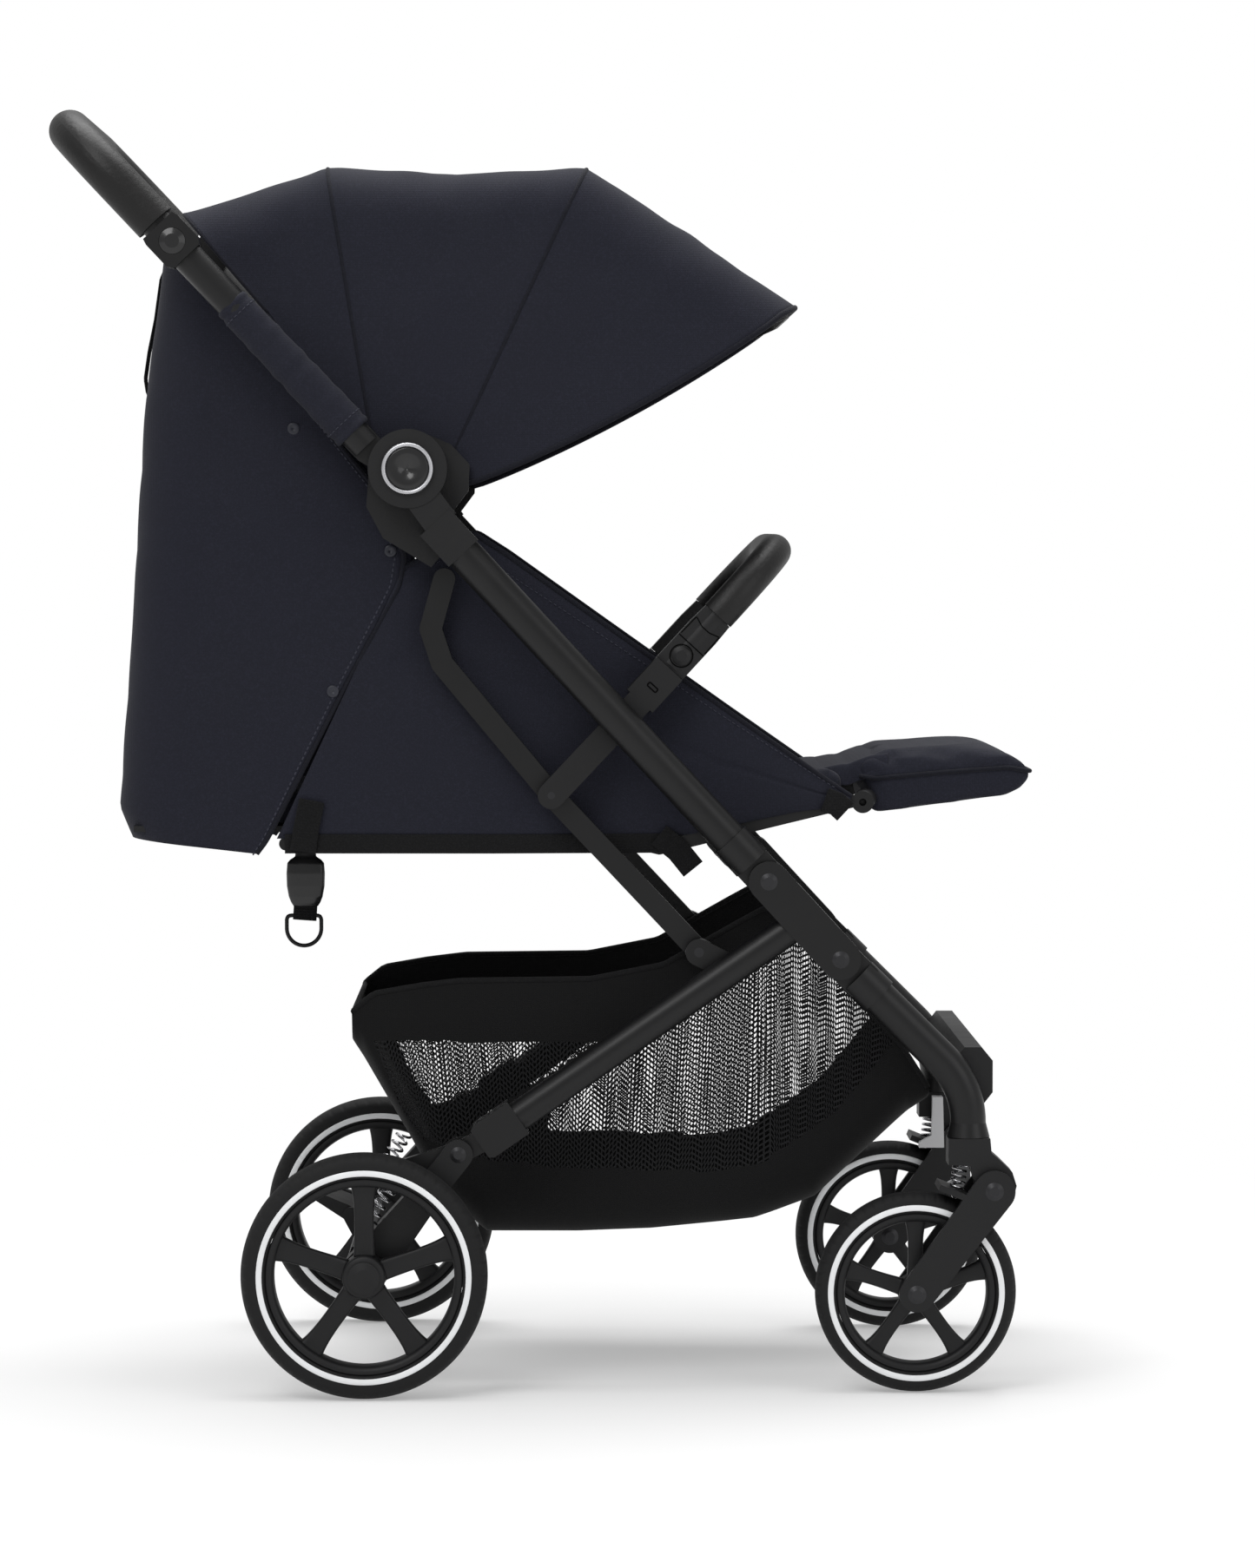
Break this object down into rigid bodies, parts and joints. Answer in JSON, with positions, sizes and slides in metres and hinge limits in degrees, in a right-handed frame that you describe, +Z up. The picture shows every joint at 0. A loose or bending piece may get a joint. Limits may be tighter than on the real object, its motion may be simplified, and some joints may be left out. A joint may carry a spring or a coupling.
{
  "type": "baby stroller",
  "caption": "Folding baby stroller with four wheels, lying-flat seat, canopy, bumper bar, push bar and storage basket.",
  "frame": {"origin": "on the floor under the middle of the stroller's bounding box", "axes": "+X forward, +Y to the stroller's left, +Z up"},
  "size_m": [0.8102, 0.4792, 1.0466],
  "materials": {
    "frame_black": "satin",
    "plastic_black": "fine grain",
    "gloss_black": "gloss",
    "steel": "bright",
    "tyre": "matt foam rubber",
    "grey_plastic": "matt",
    "grip_leather": "grained",
    "navy_fabric": "woven",
    "black_fabric": "woven mesh"
  },
  "bodies": {
    "chassis": {"knuckles": "frame_black", "rear_legs": "frame_black", "frame_pins": "steel", "leg_brackets": "frame_black", "basket_tub": "black_fabric", "basket_upper": "black_fabric"},
    "rear_suspension": {"rear_carrier": "plastic_black", "pedal_hinge": "plastic_black", "rear_axle": "steel", "rear_springs": "steel"},
    "brake": {"brake_pedal": "plastic_black"},
    "rear_wheel_left": {"rear_tyre_left": "tyre", "rear_rim_left": "plastic_black"},
    "rear_wheel_right": {"rear_tyre_right": "tyre", "rear_rim_right": "plastic_black"},
    "front_legs": {"front_legs": "frame_black", "foot_step": "plastic_black"},
    "upper_frame": {"upper_tubes": "frame_black", "hub_housings": "plastic_black", "hub_caps": "gloss_black", "upper_pivots": "plastic_black", "canopy_cover": "navy_fabric", "canopy_rib_rear": "plastic_black", "back_curtain": "navy_fabric", "carry_strap": "black_fabric"},
    "link_bars": {"link_bars": "frame_black"},
    "bumper_mount": {"bumper_sockets": "plastic_black", "link_studs": "steel"},
    "bumper": {"bumper_bar": "plastic_black", "bumper_cover": "grip_leather"},
    "seat": {"seat_frame": "frame_black", "seat_cushion": "navy_fabric", "side_wings": "navy_fabric", "recline_strap": "black_fabric"},
    "backrest": {"backrest_board": "plastic_black", "backrest_pad": "navy_fabric"},
    "leg_rest": {"leg_rest": "navy_fabric"},
    "push_bar": {"push_bar": "frame_black", "grip": "grip_leather", "handle_sleeves": "navy_fabric"},
    "canopy_front": {"canopy_rim": "plastic_black"},
    "canopy_middle": {"canopy_rib_middle": "plastic_black"},
    "fold_button_left": {"fold_button_left": "gloss_black"},
    "release_button_left": {"release_button_left": "plastic_black"},
    "swivel_left": {"swivel_head_left": "plastic_black", "front_spring_left": "steel"},
    "fork_left": {"fork_left": "plastic_black", "fork_pins_left": "steel"},
    "front_wheel_left": {"front_tyre_left": "tyre", "front_rim_left": "plastic_black"},
    "swivel_lock_left": {"swivel_lock_left": "grey_plastic"},
    "fold_button_right": {"fold_button_right": "gloss_black"},
    "release_button_right": {"release_button_right": "plastic_black"},
    "swivel_right": {"swivel_head_right": "plastic_black", "front_spring_right": "steel"},
    "fork_right": {"fork_right": "plastic_black", "fork_pins_right": "steel"},
    "front_wheel_right": {"front_tyre_right": "tyre", "front_rim_right": "plastic_black"},
    "swivel_lock_right": {"swivel_lock_right": "grey_plastic"}
  },
  "joints": [
    {"name": "rear_suspension", "type": "hinge", "parent": "chassis", "child": "rear_suspension", "pos_m": [-0.0683, 0, 0.1957], "axis": [0, 1, 0], "range_deg": [-0.5, 3], "stiffness_Nm_per_rad": 900, "deforming": ["rear_springs"]},
    {"name": "brake_pedal", "type": "hinge", "parent": "rear_suspension", "child": "brake", "pos_m": [-0.161, 0, 0.127], "axis": [0, -1, 0], "range_deg": [0, 18]},
    {"name": "rear_wheel_spin_left", "type": "hinge", "parent": "rear_suspension", "child": "rear_wheel_left", "pos_m": [-0.144, 0.219, 0.1], "axis": [0, 1, 0], "continuous": true},
    {"name": "rear_wheel_spin_right", "type": "hinge", "parent": "rear_suspension", "child": "rear_wheel_right", "pos_m": [-0.144, -0.219, 0.1], "axis": [0, 1, 0], "continuous": true},
    {"name": "frame_fold", "type": "hinge", "parent": "chassis", "child": "upper_frame", "pos_m": [0.1842, 0, 0.4179], "axis": [0, -1, 0], "range_deg": [0, 54], "deforming": ["basket_upper", "back_curtain", "recline_strap", "side_wings"]},
    {"name": "front_leg_fold", "type": "hinge", "parent": "chassis", "child": "front_legs", "pos_m": [0.2427, 0, 0.3544], "axis": [0, 1, 0], "range_deg": [0, 50]},
    {"name": "link_fold", "type": "hinge", "parent": "chassis", "child": "link_bars", "pos_m": [0.1282, 0, 0.3584], "axis": [0, -1, 0], "range_deg": [0, 54]},
    {"name": "bumper_mount_fold", "type": "hinge", "parent": "upper_frame", "child": "bumper_mount", "pos_m": [0.0636, 0, 0.5462], "axis": [0, 1, 0], "range_deg": [0, 54]},
    {"name": "seat_fold", "type": "hinge", "parent": "upper_frame", "child": "seat", "pos_m": [0.1524, 0, 0.4461], "axis": [0, 1, 0], "range_deg": [0, 32.4]},
    {"name": "push_bar_fold", "type": "hinge", "parent": "upper_frame", "child": "push_bar", "pos_m": [-0.1085, 0, 0.7528], "axis": [0, 1, 0], "range_deg": [0, 162]},
    {"name": "recline", "type": "hinge", "parent": "seat", "child": "backrest", "pos_m": [0.0537, 0, 0.4637], "axis": [0, -1, 0], "range_deg": [-55, 0]},
    {"name": "leg_rest_tilt", "type": "hinge", "parent": "seat", "child": "leg_rest", "pos_m": [0.2635, 0, 0.4796], "axis": [0, -1, 0], "range_deg": [-70, 0]},
    {"name": "canopy_open", "type": "hinge", "parent": "upper_frame", "child": "canopy_front", "pos_m": [-0.1085, 0, 0.7528], "axis": [0, -1, 0], "range_deg": [0, 97], "deforming": ["canopy_cover"]},
    {"name": "canopy_follow", "type": "hinge", "parent": "upper_frame", "child": "canopy_middle", "pos_m": [-0.1085, 0, 0.7528], "axis": [0, -1, 0], "range_deg": [0, 58.2]},
    {"name": "bumper_slide", "type": "slide", "parent": "bumper_mount", "child": "bumper", "axis": [0.6782, 0, 0.7349], "range_m": [0, 0.03]},
    {"name": "fold_button_press_left", "type": "slide", "parent": "push_bar", "child": "fold_button_left", "axis": [0, -1, 0], "range_m": [0, 0.002], "stiffness_N_per_m": 900},
    {"name": "release_press_left", "type": "slide", "parent": "bumper", "child": "release_button_left", "axis": [0, -1, 0], "range_m": [0, 0.001], "stiffness_N_per_m": 900},
    {"name": "swivel_turn_left", "type": "hinge", "parent": "front_legs", "child": "swivel_left", "pos_m": [0.3475, 0.185, 0.2084], "axis": [0, 0, 1], "continuous": true},
    {"name": "swivel_lock_slide_left", "type": "slide", "parent": "swivel_left", "child": "swivel_lock_left", "axis": [0, 0, 1], "range_m": [-0.004, 0]},
    {"name": "front_suspension_left", "type": "hinge", "parent": "swivel_left", "child": "fork_left", "pos_m": [0.3675, 0.185, 0.1661], "axis": [0, 1, 0], "range_deg": [-0.5, 3], "stiffness_Nm_per_rad": 300, "deforming": ["front_spring_left"]},
    {"name": "front_wheel_spin_left", "type": "hinge", "parent": "fork_left", "child": "front_wheel_left", "pos_m": [0.3047, 0.185, 0.082], "axis": [0, 1, 0], "continuous": true},
    {"name": "fold_button_press_right", "type": "slide", "parent": "push_bar", "child": "fold_button_right", "axis": [0, 1, 0], "range_m": [0, 0.002], "stiffness_N_per_m": 900},
    {"name": "release_press_right", "type": "slide", "parent": "bumper", "child": "release_button_right", "axis": [0, 1, 0], "range_m": [0, 0.001], "stiffness_N_per_m": 900},
    {"name": "swivel_turn_right", "type": "hinge", "parent": "front_legs", "child": "swivel_right", "pos_m": [0.3475, -0.185, 0.2084], "axis": [0, 0, 1], "continuous": true},
    {"name": "swivel_lock_slide_right", "type": "slide", "parent": "swivel_right", "child": "swivel_lock_right", "axis": [0, 0, 1], "range_m": [-0.004, 0]},
    {"name": "front_suspension_right", "type": "hinge", "parent": "swivel_right", "child": "fork_right", "pos_m": [0.3675, -0.185, 0.1661], "axis": [0, 1, 0], "range_deg": [-0.5, 3], "stiffness_Nm_per_rad": 300, "deforming": ["front_spring_right"]},
    {"name": "front_wheel_spin_right", "type": "hinge", "parent": "fork_right", "child": "front_wheel_right", "pos_m": [0.3047, -0.185, 0.082], "axis": [0, 1, 0], "continuous": true}
  ],
  "couplings": [
    {"joint": "front_leg_fold", "follows": "frame_fold", "ratio": 0.92592},
    {"joint": "link_fold", "follows": "frame_fold", "ratio": 1},
    {"joint": "bumper_mount_fold", "follows": "frame_fold", "ratio": 1},
    {"joint": "seat_fold", "follows": "frame_fold", "ratio": 0.6},
    {"joint": "push_bar_fold", "follows": "frame_fold", "ratio": 3},
    {"joint": "canopy_follow", "follows": "canopy_open", "ratio": 0.6}
  ]
}
